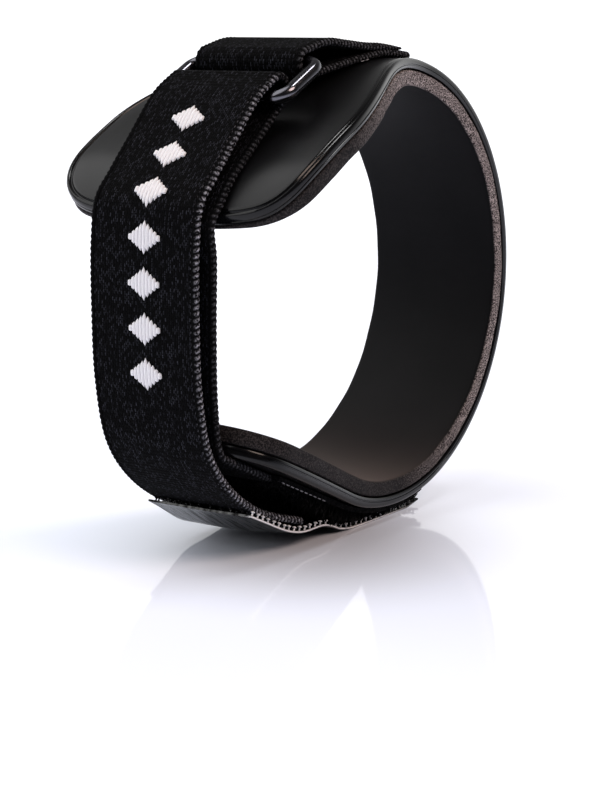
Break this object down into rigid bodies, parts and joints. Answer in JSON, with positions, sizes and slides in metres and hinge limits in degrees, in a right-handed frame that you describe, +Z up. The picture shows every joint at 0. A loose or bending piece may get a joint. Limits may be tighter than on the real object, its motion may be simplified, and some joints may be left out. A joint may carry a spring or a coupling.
{
  "type": "forearm band for tennis elbow (elbow support)",
  "caption": "C-shaped moulded forearm band with a foam lining, closed by an elastic strap through a wire ring.",
  "frame": {"origin": "middle of the part's box in plan, at the height of the flat foot that it stands on", "axes": "+X towards the closed back of the band, +Y along the forearm away from the seen face, +Z up"},
  "size_m": [0.1092, 0.0564, 0.0991],
  "materials": {
    "shell_plastic": "satin",
    "liner_foam": "matte",
    "elastic_webbing": "matte",
    "ring_metal": "polished",
    "hook_nylon": "gloss",
    "pile_nylon": "matte"
  },
  "bodies": {
    "root": {"shell": "shell_plastic", "foam_liner": "liner_foam", "anchor_strap": "elastic_webbing", "strap_ring": "ring_metal", "strap": "elastic_webbing", "hook_tape": "hook_nylon", "pile_patch": "pile_nylon"}
  },
  "joints": []
}
